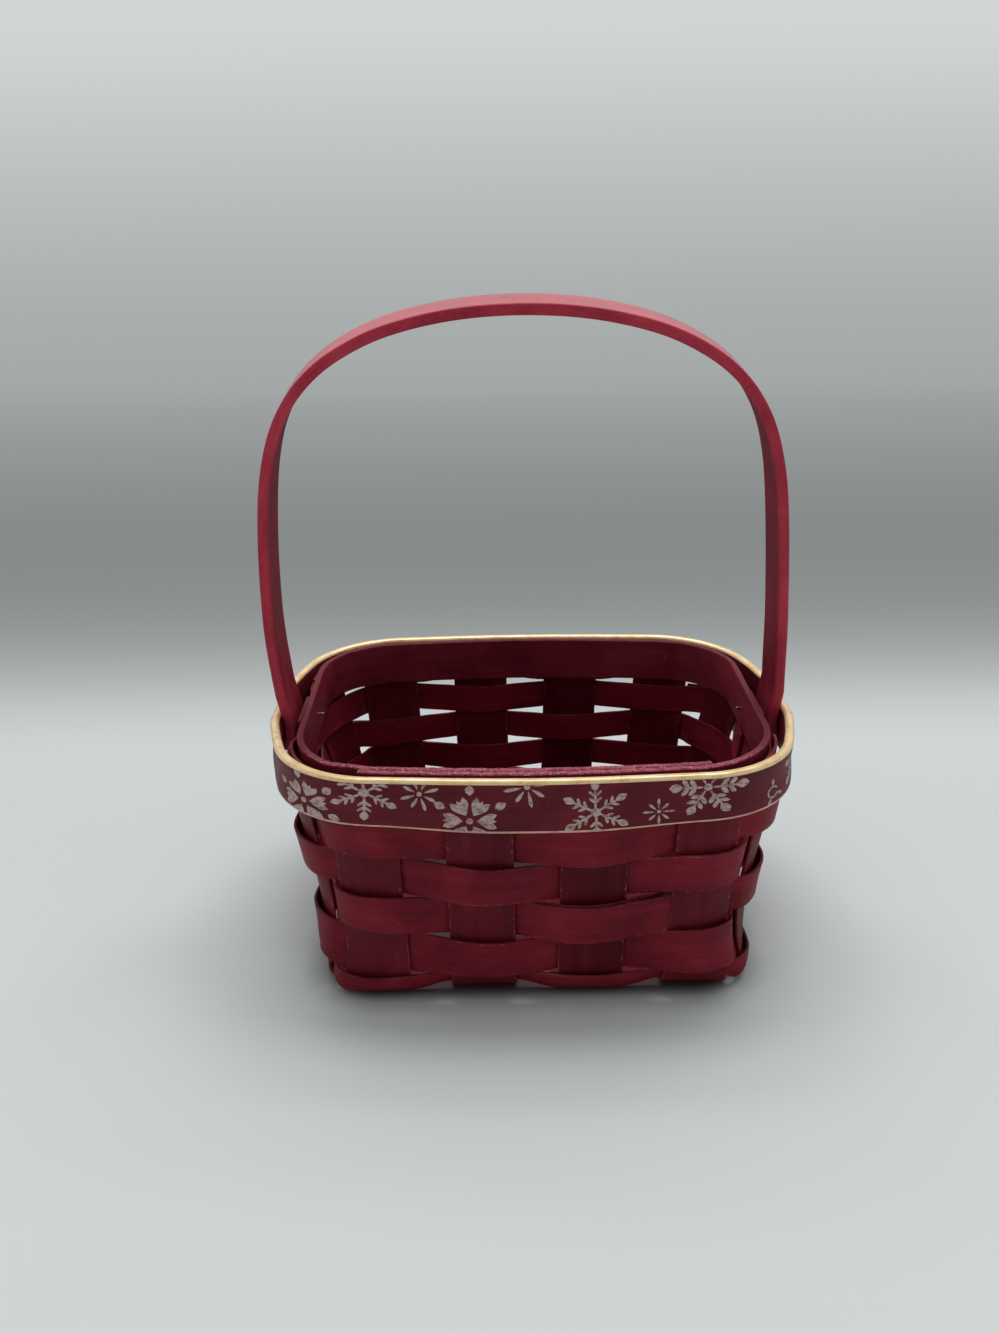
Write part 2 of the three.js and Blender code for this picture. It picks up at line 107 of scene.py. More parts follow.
BASE_MIDDLE = SPLINT + GAP / 2
BASE_WAVE = (SPLINT + GAP) / 2
WEAVE = SPLINT + GAP
FOLD_LENGTH = FOLD_RADIUS * math.pi / 2
ROW_PITCH = WEAVER_WIDTH + ROW_GAP
SECOND_START = LOWEST_START + LOWEST_WIDTH + LOWEST_GAP
WEAVE_TOP = SECOND_START + (ROWS - 1) * ROW_PITCH - ROW_GAP
STAKE_TOP = WEAVE_TOP + STAKE_END
OUTER_TOP = STAKE_TOP + OUTER_ABOVE
INNER_TOP = OUTER_TOP - INNER_BELOW
STRAIGHT_WALL = OUTER_TOP - FOLD_LENGTH
WALL_RISE = STRAIGHT_WALL + FOLD_RADIUS
BASE_X = ((FRONT_STAKES - 1) * FRONT_PITCH + STAKE_WIDTH) / 2 + FOLD_MARGIN
BASE_Y = ((SIDE_STAKES - 1) * SIDE_PITCH + STAKE_WIDTH) / 2 + FOLD_MARGIN
BAND_OFFSET = WEAVE + SPLINT / 2 + GAP
HANDLE_PUSH = HANDLE_THICK + GAP
FRONT, RIGHT, BACK, LEFT = 0, 1, 2, 3
OUTWARD = np.array([(0, -1), (1, 0), (0, 1), (-1, 0)], float)

# The unevenness of this basket, which the even solids leave out

# Lengths are in mm, heights are shares of the straight wall, turns are quarter turns from the
# middle of the front, and a pair says where something starts and where it is complete.

# The end walls stand fuller, and less so at the rim
END_SWELL = 2.7
SWELL_HEIGHT = 0.74
SWELL_POWER = 1.3
RIM_SWELL = 1.1
RIM_SWELL_HEIGHTS = (0.78, 0.92)

# The rows climb round the front corners, in the middle of the wall's height
ROW_CLIMB = 3.0
CLIMB_TURNS = (0.1, 0.45)
CLIMB_LAST_TURNS = (1.1, 1.6)
CLIMB_PATHS = (8, 22)
CLIMB_LAST_PATHS = (50, 70)

# The long sides bow out in the middle and in towards the corners
LONG_BOW = 1.3
BOW_REACH = 70.0

# The front rows are packed closer, and the back rows are slimmer
FRONT_PACKING = 0.4
FRONT_PACKING_TURNS = (0.38, 0.5)
BACK_SLIMMING = 0.3
BACK_SLIMMING_TURNS = (1.2, 1.5)

# Each row wanders in its place, its width, its distance from the wall and its hollow, the last
# two of which are weaker between the stakes. The inner band's top edge is frayed.
WANDER_PERIOD = 110.0
ROW_SHIFT = 0.16
ROW_GROWTH = 0.14
ROW_LIFT = 0.10
ROW_CUP = 0.07
CURL_BETWEEN = 0.4
BAND_FRAY = 0.10
FRAYED_TOP = (0.9, 1.0)

# At its top the handle's back edge stands higher than its front edge
HANDLE_TIP = 1.5
HANDLE_TIP_SHARES = (0.5, 0.9)

# The right half of the arch, as shares of its half span and rise, a little fuller than in the solids
ARCH = [
    (1.013, 0.034), (1.02, 0.186), (1.016, 0.271), (1.007, 0.389), (0.989, 0.529), (0.968, 0.615),
    (0.929, 0.706), (0.882, 0.768), (0.822, 0.823), (0.745, 0.87), (0.666, 0.904), (0.545, 0.944),
    (0.41, 0.97), (0.269, 0.988), (0.138, 0.997), (0, 1),
]

# How the edges of the strips are rounded, in mm

SPLINT_ROUNDING = 0.2
OUTER_ROUNDING = 0.45
OUTER_TOP_ROUNDING = 1.15
INNER_ROUNDING = 0.35
HANDLE_ROUNDING = 0.6
SHOULDER = 0.35


def smooth(t):
    t = np.clip(t, 0.0, 1.0)
    return t * t * (3 - 2 * t)


def eased(value, start, end):
    """0 up to the start, 1 from the end on, and smooth on the way."""
    return smooth((value - start) / (end - start))


def wander(u, seed, size, waves=((1, 0.5), (2.3, 0.3), (5.1, 0.2))):
    """A smooth seeded wander along u in mm, from waves of a rate and a share each."""
    rng = np.random.RandomState(seed)
    total = np.zeros_like(np.asarray(u, float))
    for rate, share in waves:
        total += share * np.sin(2 * math.pi * rate * u / WANDER_PERIOD + rng.uniform(0, 2 * math.pi))
    return total * size


# The wall surface

def level(path):
    """The rise, the two half sizes and the corner radius of the wall at a path, which is the way
    up the wall in mm from the line where the base starts to fold."""
    path = np.asarray(path, float)
    turn = np.clip(path, 0, FOLD_LENGTH) / FOLD_RADIUS
    straight = np.maximum(path - FOLD_LENGTH, 0)
    height = straight / STRAIGHT_WALL
    rise = FOLD_RADIUS * (1 - np.cos(turn)) + straight
    out = FOLD_RADIUS * np.sin(turn) + np.minimum(path, 0)
    swell = END_SWELL - (END_SWELL - RIM_SWELL) * eased(height, *RIM_SWELL_HEIGHTS)
    swell *= eased(height, 0, SWELL_HEIGHT) ** SWELL_POWER
    half_x = BASE_X + out + END_LEAN * height + swell
    half_y = BASE_Y + out - DRAW_IN * height
    radius = CORNER_SHARP + CORNER_GAIN * (1 - np.exp(-rise / CORNER_HEIGHT))
    return rise, half_x, half_y, radius


def quarter(path):
    """The length of a quarter of the way round."""
    _, half_x, half_y, radius = level(path)
    return half_x + half_y - 2 * radius + radius * math.pi / 2


def place(side, along, out, rise):
    """Points in mm from a side, the distance along it, how far out, and the rise."""
    side = np.asarray(side, int) % 4
    o = OUTWARD[side]
    x = o[..., 0] * out - o[..., 1] * along
    y = o[..., 1] * out + o[..., 0] * along
    z = BASE_MIDDLE + rise + np.zeros_like(x)
    return np.stack([x, y, z], -1)


def from_front(turn):
    """How many quarter turns a place lies from the middle of the front, either way round."""
    return np.abs((turn + 2) % 4 - 2)


def climbed(turn, path):
    """The rows climb a little on their way round the front corners to the end walls."""
    away = from_front(turn)
    near_end = eased(away, *CLIMB_TURNS) * (1 - eased(away, *CLIMB_LAST_TURNS))
    return path + ROW_CLIMB * near_end * eased(path, *CLIMB_PATHS) * (1 - eased(path, *CLIMB_LAST_PATHS))


def wall_point(turn, path):
    """A point of the wall's middle surface, from the turn round the basket in quarter turns and
    the path up the wall. The long sides bow, and most of all at the rim."""
    turn, path = np.broadcast_arrays(np.asarray(turn, float), np.asarray(path, float))
    rise, half_x, half_y, radius = level(climbed(turn, path))
    side = np.floor(turn).astype(int)
    long_side = side % 2 == 0
    half_out = np.where(long_side, half_y, half_x)
    half_along = np.where(long_side, half_x, half_y)
    straight = half_along - radius
    corner = radius * math.pi / 2
    walked = (turn - side) * (straight + corner + half_out - radius)
    first = np.minimum(walked, straight)
    angle = np.clip((walked - straight) / radius, 0, math.pi / 2)
    rest = np.maximum(walked - straight - corner, 0)
    along = first + radius * np.sin(angle)
    out = half_out - radius * (1 - np.cos(angle)) - rest
    p = place(side, along, out, rise)
    from_middle = np.minimum(np.abs(p[..., 0]), BOW_REACH) / BOW_REACH
    bow = LONG_BOW * rise / WALL_RISE * np.cos(math.pi * from_middle)
    p[..., 1] *= 1 + bow / half_y
    return p


def wall_normal(turn, path):
    probe = 0.02
    step = probe / quarter(path)
    along = wall_point(turn + step, path) - wall_point(turn - step, path)
    upward = wall_point(turn, path + probe) - wall_point(turn, path - probe)
    n = np.cross(along, upward)
    return n / np.linalg.norm(n, axis=-1, keepdims=True)


def beside_wall(turn, path, out):
    """A point that stands out from the wall's middle surface, or in from it below zero."""
    out = np.asarray(out, float)
    return wall_point(turn, path) + wall_normal(turn, path) * out[..., None]


def centred(count):
    """The places of so many things in a row, in steps from its middle."""
    return [i - (count - 1) / 2 for i in range(count)]


STAKES_OF_SIDE = {FRONT: FRONT_STAKES, RIGHT: SIDE_STAKES, BACK: FRONT_STAKES, LEFT: SIDE_STAKES}
STAKES = [(side, where) for side, count in STAKES_OF_SIDE.items() for where in centred(count)]
STAKE_SIDE = np.array([side for side, _ in STAKES])
STAKE_PLACE = np.array([where for _, where in STAKES])


def stake_middle(side, where, path):
    """How far the middle of a stake lies from the middle of its side, at a path up the wall."""
    lift = level(path)[0] / WALL_RISE
    long_side = np.asarray(side) % 2 == 0
    return where * np.where(long_side, FRONT_PITCH + FRONT_GAIN * lift, SIDE_PITCH - SIDE_LOSS * lift)


def stake_walked(index, path):
    """Where the middle of a stake lies on the way round, counted on past a full round."""
    rounds = np.floor_divide(index, len(STAKES))
    k = index - rounds * len(STAKES)
    side = STAKE_SIDE[k]
    return (rounds * 4 + side) * quarter(path) + stake_middle(side, STAKE_PLACE[k], path)


# Strips, swept as rings of points along stations

def section(width, thick, rounding, columns, arc=3, top_rounding=None, lip=False):
    """The outline of a strip's section, anticlockwise seen along the sweep: the places from edge
    to edge, the places through the thickness, and which side each span belongs to. With a lip,
    the finish of the lower edge goes on a little way up the outer face."""
    low = rounding
    top = rounding if top_rounding is None else top_rounding
    half = thick / 2
    turns = [math.pi / 2 * i / arc for i in range(1, arc + 1)]
    face = [low, *np.linspace(low + SHOULDER, width - top - SHOULDER, columns), width - top]
    points, kinds = [], []

    def add(across, through, kind):
        points.append((across, through))
        kinds.append(kind)

    for v in face[:-1]:
        add(v, half, "bottom" if lip and v == face[0] else "outer")
    add(face[-1], half, "top")
    for a in turns:
        add(width - top + top * math.sin(a), half - top + top * math.cos(a), "top")
    add(width, top - half, "top")
    for a in turns:
        add(width - top + top * math.cos(a), top - half - top * math.sin(a), "top")
    kinds[-1] = "inner"
    for v in reversed(face[:-1]):
        add(v, -half, "inner")
    kinds[-1] = "bottom"
    for a in turns:
        add(low - low * math.sin(a), low - half - low * math.cos(a), "bottom")
    add(0, half - low, "bottom")
    for a in turns[:-1]:
        add(low - low * math.cos(a), half - low + low * math.sin(a), "bottom")
    across, through = np.array(points).T
    return across, through, kinds


def link_object(name, data):
    piece = bpy.data.objects.new(name, data)
    bpy.context.scene.collection.objects.link(piece)
    return piece


def sweep(name, columns, closed, run, ring, seed, slots, materials):
    """A solid strip from its ring's columns of points in mm, one for each point of the section.
    The first UV map is the place along and round the strip in units of 100 mm, and the second
    is the place from edge to edge and along it. Slots say which sides have which material."""
    across, through, kinds = ring
    points = np.stack(columns, 1)
    stations, count = points.shape[:2]
    if closed:
        run = np.append(run, 2 * run[-1] - run[-2])
    steps = np.hypot(np.diff(np.append(across, across[0])), np.diff(np.append(through, through[0])))
    around = np.append(0, np.cumsum(steps))
    faces, slot_of, grain, edge = [], [], [], []
    for i in range(len(run) - 1):
        a = i * count
        b = (i + 1) % stations * count
        for j in range(count):
            k = (j + 1) % count
            faces.append((a + j, b + j, b + k, a + k))
            slot_of.append(slots.get(kinds[j], 0))
            grain += [(run[i], around[j]), (run[i + 1], around[j]),
                      (run[i + 1], around[j + 1]), (run[i], around[j + 1])]
            edge += [across[j], across[j], across[k], across[k]]
    if not closed:
        last = range((stations - 1) * count, stations * count)
        for cap in (range(count), reversed(last)):
            faces.append(tuple(cap))
            slot_of.append(slots.get("end", 0))
            grain += [(across[v % count], through[v % count]) for v in faces[-1]]
            edge += [0.0] * count
    grain = np.array(grain) / 100 + np.random.RandomState(seed).uniform(0, 9, 2)
    edge = np.stack([np.array(edge) / across.max(), grain[:, 0]], 1)

    mesh = bpy.data.meshes.new(name)
    mesh.from_pydata((points.reshape(-1, 3) * MM).tolist(), [], faces)
    mesh.uv_layers.new(name="grain").data.foreach_set("uv", grain.ravel())
    mesh.uv_layers.new(name="edge").data.foreach_set("uv", edge.ravel())
    for material in materials:
        mesh.materials.append(material)
    mesh.polygons.foreach_set("material_index", slot_of)
    bm = bmesh.new()
    bm.from_mesh(mesh)
    if bm.calc_volume(signed=True) < 0:
        bmesh.ops.reverse_faces(bm, faces=bm.faces)
    bm.to_mesh(mesh)
    bm.free()
    mesh.shade_smooth()
    mesh.set_sharp_from_angle(angle=math.radians(38))
    return link_object(name, mesh)


def stand_for(piece, node):
    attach(piece, "root")
    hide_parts(node)


# Materials

class Nodes:
    """A short way to write a material's nodes."""

    def __init__(self, name):
        self.material = bpy.data.materials.new(name)
        self.material.use_nodes = True
        self.tree = self.material.node_tree
        self.tree.nodes.clear()
        self.out = self.tree.nodes.new("ShaderNodeOutputMaterial")
        self.shader = self.tree.nodes.new("ShaderNodeBsdfPrincipled")
        self.link(self.shader.outputs[0], self.out.inputs["Surface"])

    def link(self, a, b):
        self.tree.links.new(a, b)

    def put(self, socket, value):
        if isinstance(value, bpy.types.NodeSocket):
            self.link(value, socket)
        else:
            socket.default_value = value

    def mapped(self, vector, scale, offset):
        n = self.tree.nodes.new("ShaderNodeMapping")
        n.inputs["Scale"].default_value = scale
        n.inputs["Location"].default_value = offset
        self.link(vector, n.inputs["Vector"])
        return n.outputs[0]

    def uv(self, layer, scale=(1, 1, 1), offset=(0, 0, 0)):
        n = self.tree.nodes.new("ShaderNodeUVMap")
        n.uv_map = layer
        return self.mapped(n.outputs[0], scale, offset)

    def place(self, scale=(1, 1, 1), offset=(0, 0, 0)):
        n = self.tree.nodes.new("ShaderNodeTexCoord")
        return self.mapped(n.outputs["Object"], scale, offset)

    def noise(self, vector, scale=1.0, detail=4.0, rough=0.55, distortion=0.0):
        n = self.tree.nodes.new("ShaderNodeTexNoise")
        self.link(vector, n.inputs["Vector"])
        n.inputs["Scale"].default_value = scale
        n.inputs["Detail"].default_value = detail
        n.inputs["Roughness"].default_value = rough
        n.inputs["Distortion"].default_value = distortion
        return n.outputs["Fac"]

    def ramp(self, value, start, end, first=0.0, last=1.0):
        """From the first number to the last, as a value goes from the start to the end."""
        n = self.tree.nodes.new("ShaderNodeMapRange")
        n.interpolation_type = "SMOOTHSTEP"
        n.inputs["From Min"].default_value = start
        n.inputs["From Max"].default_value = end
        n.inputs["To Min"].default_value = first
        n.inputs["To Max"].default_value = last
        self.link(value, n.inputs["Value"])
        return n.outputs["Result"]

    def math(self, kind, *values):
        n = self.tree.nodes.new("ShaderNodeMath")
        n.operation = kind
        for socket, value in zip(n.inputs, values):
            self.put(socket, value)
        return n.outputs[0]

    def times(self, a, b):
        return self.math("MULTIPLY", a, b)

    def weigh(self, *parts):
        """The sum of values, each times its share."""
        total = 0.0
        for value, share in parts:
            total = self.math("MULTIPLY_ADD", value, share, total)
        return total

    def mix(self, factor, a, b, kind="MIX"):
        n = self.tree.nodes.new("ShaderNodeMix")
        n.data_type = "RGBA"
        n.blend_type = kind
        self.put(n.inputs["Factor"], factor)
        self.put(n.inputs["A"], a)
        self.put(n.inputs["B"], b)
        return n.outputs["Result"]

    def axis(self, vector, index):
        n = self.tree.nodes.new("ShaderNodeSeparateXYZ")
        self.link(vector, n.inputs[0])
        return n.outputs[index]

    def surface(self, colour, roughness, height, strength, distance, plain):
        """Colour, roughness and bump from nodes, and plain numbers on the shader's own sockets."""
        bump = self.tree.nodes.new("ShaderNodeBump")
        bump.inputs["Strength"].default_value = strength
        bump.inputs["Distance"].default_value = distance
        self.link(height, bump.inputs["Height"])
        self.link(colour, self.shader.inputs["Base Color"])
        self.link(roughness, self.shader.inputs["Roughness"])
        self.link(bump.outputs["Normal"], self.shader.inputs["Normal"])
        for socket, value in plain.items():
            self.shader.inputs[socket].default_value = value
        return self.material


def srgb(r, g, b):
    def lin(c):
        c /= 255
        return c / 12.92 if c <= 0.04045 else ((c + 0.055) / 1.055) ** 2.4
    return (lin(r), lin(g), lin(b), 1.0)


WORN_WOOD = srgb(172, 96, 92)
SCRATCHED_WOOD = srgb(150, 72, 78)


def stained_wood(name, dark, mid, light, rough=(0.4, 0.62), coat=0.0, gloss=0.16, edge_wear=0.5,
                 scuff=0.5):
    """Thin wood with a translucent crimson stain: long fine grain, short dark pores, blotches
    where the stain took unevenly, paler worn edges and a few light scratches."""
    m = Nodes(name)
    fine = m.noise(m.uv("grain", (7, 210, 1)), 1.0, 5, 0.6, 0.15)
    broad = m.noise(m.uv("grain", (1.6, 34, 1), (3, 1, 0)), 1.0, 3, 0.5, 0.4)
    blotch = m.noise(m.place(), 55.0, 3, 0.55, 0.3)
    tone = m.weigh((m.ramp(fine, 0.3, 0.72), 0.225), (m.ramp(broad, 0.3, 0.7), 0.225),
                   (m.ramp(blotch, 0.25, 0.75), 0.55))
    colour = m.mix(m.ramp(tone, 0.12, 0.55), srgb(*dark), srgb(*mid))
    colour = m.mix(m.ramp(tone, 0.5, 0.95), colour, srgb(*light))
    pores = m.noise(m.uv("grain", (38, 620, 1), (1, 7, 0)), 1.0, 2, 0.5)
    pore = m.ramp(pores, 0.60, 0.72)
    colour = m.mix(m.times(pore, 0.3), colour, srgb(*dark))
    # Worn long edges
    across = m.axis(m.uv("edge"), 0)
    from_edge = m.math("SUBTRACT", 0.5, m.math("ABSOLUTE", m.math("SUBTRACT", across, 0.5)))
    chip = m.noise(m.uv("grain", (60, 90, 1), (5, 2, 0)), 1.0, 3, 0.6)
    worn = m.math("LESS_THAN", from_edge, m.ramp(chip, 0.45, 0.75, 0, 0.055))
    colour = m.mix(m.times(worn, edge_wear), colour, WORN_WOOD)
    # Scratches, as long thin lines aslant across the grain
    slant = m.noise(m.uv("grain", (95, 14, 1), (2, 5, 0)), 1.0, 1, 0.4, 0.6)
    line = m.ramp(m.math("ABSOLUTE", m.math("SUBTRACT", slant, 0.5)), 0.0, 0.006, 1, 0)
    scratch = m.times(line, m.ramp(m.noise(m.place(), 90, 2), 0.55, 0.66))
    colour = m.mix(m.times(scratch, scuff), colour, SCRATCHED_WOOD)
    roughness = m.ramp(m.weigh((fine, 0.5), (blotch, 0.5)), 0.35, 0.68, *rough)
    height = m.weigh((fine, 0.8), (broad, 0.6), (pore, -0.5))
    plain = {"Specular IOR Level": gloss, "Coat Weight": coat, "Coat Roughness": 0.2}
    return m.surface(colour, roughness, height, 0.45, 0.00022, plain)


def gold_edge(name, dark, light, metal, coat):
    """A cream and gold edge: the raw wood of a strip's edge with a rub-on metallic wax over it."""
    m = Nodes(name)
    fine = m.noise(m.uv("grain", (22, 260, 1)), 1.0, 4, 0.6)
    tone = m.weigh((fine, 0.5), (m.noise(m.place(), 170.0, 3, 0.6), 0.5))
    colour = m.mix(m.ramp(tone, 0.36, 0.62), srgb(*dark), srgb(*light))
    fleck = m.ramp(m.noise(m.uv("grain", (90, 500, 1), (4, 4, 0)), 1.0, 2), 0.63, 0.72)
    colour = m.mix(m.times(fleck, 0.25), colour, srgb(150, 96, 74))
    plain = {"Metallic": metal, "Coat Weight": coat, "Coat Roughness": 0.16}
    return m.surface(colour, m.ramp(tone, 0.35, 0.65, 0.24, 0.4), tone, 0.35, 0.0002, plain)


def rough_edge(name):
    """The sawn top edge of the inner band: fuzzy crimson end fibres, with a pale painted sheen and tiny
    painted glints along the front, and plain further back."""
    m = Nodes(name)
    coarse = m.noise(m.place(), 900.0, 4, 0.7)
    tone = m.weigh((coarse, 0.6), (m.noise(m.uv("grain", (160, 700, 1)), 1.0, 3, 0.65), 0.4))
    front = m.ramp(m.axis(m.place(), 1), -0.05, -0.03, 1, 0)
    # Painted sheen and painted glints: along the front the edge is painted pale, with bright specks, where
    # the light catches it.
    painted_front_sheen = m.mix(m.ramp(tone, 0.38, 0.6), srgb(96, 20, 38), srgb(212, 108, 126))
    stained = m.mix(m.ramp(tone, 0.36, 0.6), srgb(84, 14, 28), srgb(122, 34, 48))
    glint = m.ramp(m.noise(m.place(offset=(3, 0, 0)), 1500.0, 2, 0.6), 0.61, 0.68)
    colour = m.mix(front, stained, painted_front_sheen)
    colour = m.mix(m.times(m.times(glint, front), 0.95), colour, srgb(240, 186, 192))
    roughness = m.ramp(coarse, 0.35, 0.65, 0.42, 0.7)
    return m.surface(colour, roughness, tone, 0.9, 0.0006, {"Specular IOR Level": 0.2})


def print_ink(name):
    """A pale print that has sunk into the stained wood, thin and broken in places."""
    m = Nodes(name)
    cover = m.noise(m.place(), 700.0, 4, 0.65)
    tone = m.weigh((cover, 0.6), (m.noise(m.place((260, 260, 2200)), 1.0, 3, 0.6), 0.4))
    colour = m.mix(m.ramp(tone, 0.38, 0.56), srgb(134, 94, 92), srgb(194, 170, 162))
    return m.surface(colour, m.ramp(tone, 0.35, 0.65, 0.42, 0.6), tone, 0.3, 0.0001, {"Metallic": 0.15})


def tack_metal(name):
    """A fine steel pin that has been stained over with the wood."""
    m = Nodes(name)
    tone = m.noise(m.place(), 2200.0, 3, 0.6)
    colour = m.mix(m.ramp(tone, 0.4, 0.6), srgb(70, 22, 28), srgb(168, 130, 118))
    return m.surface(colour, m.ramp(tone, 0.4, 0.6, 0.3, 0.5), tone, 0.3, 0.0001, {"Metallic": 0.8})


WEAVER_WOOD = stained_wood("weaver_wood", (98, 13, 29), (120, 22, 38), (140, 36, 51), gloss=0.13)
STAKE_WOOD = stained_wood("stake_wood", (82, 10, 24), (100, 18, 33), (118, 29, 43), gloss=0.13, scuff=0.35)
# A copy of the stake wood painted darker, as painted shade for the third front-to-back stake, which the
# rows in front of it shade.
PAINTED_SHADE_STAKE_WOOD = stained_wood("painted_shade_stake_wood", (68, 7, 20), (85, 13, 27), (103, 22, 36),
                               gloss=0.11, scuff=0.3)
INNER_WOOD = stained_wood("inner_band_wood", (98, 22, 38), (118, 31, 47), (136, 43, 59),
                          rough=(0.34, 0.52), gloss=0.2)
OUTER_WOOD = stained_wood("outer_band_wood", (84, 14, 27), (100, 24, 37), (115, 34, 46),
                          rough=(0.42, 0.6), edge_wear=0.2)
HANDLE_WOOD = stained_wood("handle_wood", (156, 32, 54), (180, 48, 69), (198, 66, 86),
                           rough=(0.34, 0.5), gloss=0.14, edge_wear=0.1)
# Lit and shaded copies of the handle's wood: its outer face, the top of the arch, is painted lighter and
# pinker as a painted highlight, and its inner face is painted darker as painted shade.
HANDLE_PAINTED_LIT_WOOD = stained_wood("handle_painted_lit_wood", (158, 26, 48), (186, 44, 66), (206, 66, 88),
                            rough=(0.3, 0.42), coat=0.28, gloss=0.24, edge_wear=0.1)
HANDLE_PAINTED_SHADE_WOOD = stained_wood("handle_painted_shade_wood", (108, 24, 38), (128, 33, 48), (146, 46, 60),
                            rough=(0.5, 0.66), gloss=0.07, edge_wear=0.1)
SPLINT_EDGE = stained_wood("splint_edge", (70, 14, 24), (112, 32, 42), (156, 76, 78),
                           rough=(0.45, 0.65), edge_wear=0)
GOLD = gold_edge("gold_edge", (236, 192, 132), (252, 224, 176), 0.3, 0.35)
FADED_GOLD = gold_edge("faded_gold_edge", (186, 132, 116), (228, 184, 158), 0.1, 0.1)
ROUGH = rough_edge("rough_edge")
INK = print_ink("pale_print")
TACK = tack_metal("tack_metal")


# Weavers

OVER_STEPS = 10
BETWEEN_STEPS = 7


def weaver_stations(lap_stake, ends):
    """Stations of a weaver: stake index, share of the way, whether it is on the stake, the side
    of the wall, the ply before and after, and whether it is the free end. Its ends join in a
    ring, or one is tucked behind a stake, or one laps over the next stake."""
    rows = []

    def over(k, sign, ply, start=0):
        for i in range(start, OVER_STEPS + 1):
            rows.append((k, i / OVER_STEPS, True, sign, ply, ply, False))

    def between(k, sign, before, after, tail=False):
        for i in range(1, BETWEEN_STEPS + tail):
            rows.append((k, i / BETWEEN_STEPS, False, sign, before, after, tail))

    if ends == "ring":
        for k in range(len(STAKES)):
            sign = -1 if k % 2 == 0 else 1
            over(k, sign, 0)
            between(k, sign, 0, 0)
        return np.array(rows, float)
    first = lap_stake - 1
    again = first + len(STAKES)
    over(first, -1, -WEAVE, OVER_STEPS // 2)
    between(first, -1, -WEAVE, 0)
    for k in range(lap_stake, again):
        sign = 1 if (k - lap_stake) % 2 == 0 else -1
        over(k, sign, 0)
        between(k, sign, 0, 0)
    over(again, -1, 0)
    if ends == "lapped":
        between(again, -1, 0, WEAVE)
        over(again + 1, 1, WEAVE)
        between(again + 1, 1, WEAVE, WEAVE, tail=True)
    return np.array(rows, float)


def weaver_way(rows, path, bulge):
    """How far round each station lies, and how far out from the wall's middle surface."""
    index = rows[:, 0].astype(int)
    t, on_stake, sign, before, after, tail = rows[:, 1:].T
    half = STAKE_WIDTH / 2 + LANDING
    here = stake_walked(index, path)
    gap = stake_walked(index + 1, path) - here - 2 * half
    slope = 2 * bulge * gap / half
    share = 2 * t - 1
    over = sign * (WEAVE + bulge * (1 - share * share)) + before
    crossing = WEAVE * (1 - 2 * smooth(t)) - slope * t * (1 - t) * (1 - 2 * t)
    between = sign * crossing + before + (after - before) * smooth(t)
    between = np.where(tail > 0, 2 * WEAVE - LAP_DROP * smooth(t), between)
    walked = np.where(on_stake > 0, here + half * share, here + half + gap * t)
    return walked, np.where(on_stake > 0, over, between)


def make_weaver(row, seed):
    lowest = row == 0
    top = row == ROWS - 1
    low = LOWEST_START if lowest else SECOND_START + (row - 1) * ROW_PITCH
    width = LOWEST_WIDTH if lowest else WEAVER_WIDTH
    stations = weaver_stations(LAP_STAKES[row], "ring" if top else "tucked" if lowest else "lapped")
    run, _ = weaver_way(stations, low + width / 2, BULGE)
    away = from_front(run / quarter(low + width / 2))
    packed = FRONT_PACKING * (1 - eased(away, *FRONT_PACKING_TURNS))
    shift = wander(run, seed, ROW_SHIFT)
    grow = wander(run, seed + 1, ROW_GROWTH) - BACK_SLIMMING * eased(away, *BACK_SLIMMING_TURNS)
    grow_low = grow + (0 if row == 1 else packed)
    grow_high = grow + packed
    lift = wander(run, seed + 2, ROW_LIFT, ((7, 0.6), (13, 0.4)))
    cup = wander(run, seed + 3, ROW_CUP, ((3, 1.0),))
    if lowest:
        shift = grow_low = grow_high = 0 * run
    if lowest or top:
        lift = cup = 0 * run
    ring = section(width, SPLINT, SPLINT_ROUNDING, 7)
    columns = []
    for v, n in zip(*ring[:2]):
        share = v / width
        path = low + v + shift + grow_high * share - grow_low * (1 - share)
        walked, out = weaver_way(stations, path, 0.0 if top else BULGE * share if lowest else BULGE)
        curl = np.abs(cup * (2 * share - 1) ** 2 + lift) * np.sign(out)
        curl *= np.where(np.abs(out) > WEAVE * 0.98, 1.0, CURL_BETWEEN)
        columns.append(beside_wall(walked / quarter(path), path, out + n + curl))
    piece = sweep(f"splint_weaver_{row + 1}", columns, top, run, ring, seed,
                  {"top": 1, "bottom": 1, "end": 1}, [WEAVER_WOOD, SPLINT_EDGE])
    stand_for(piece, f"weaver_{row + 1}")


# Stakes

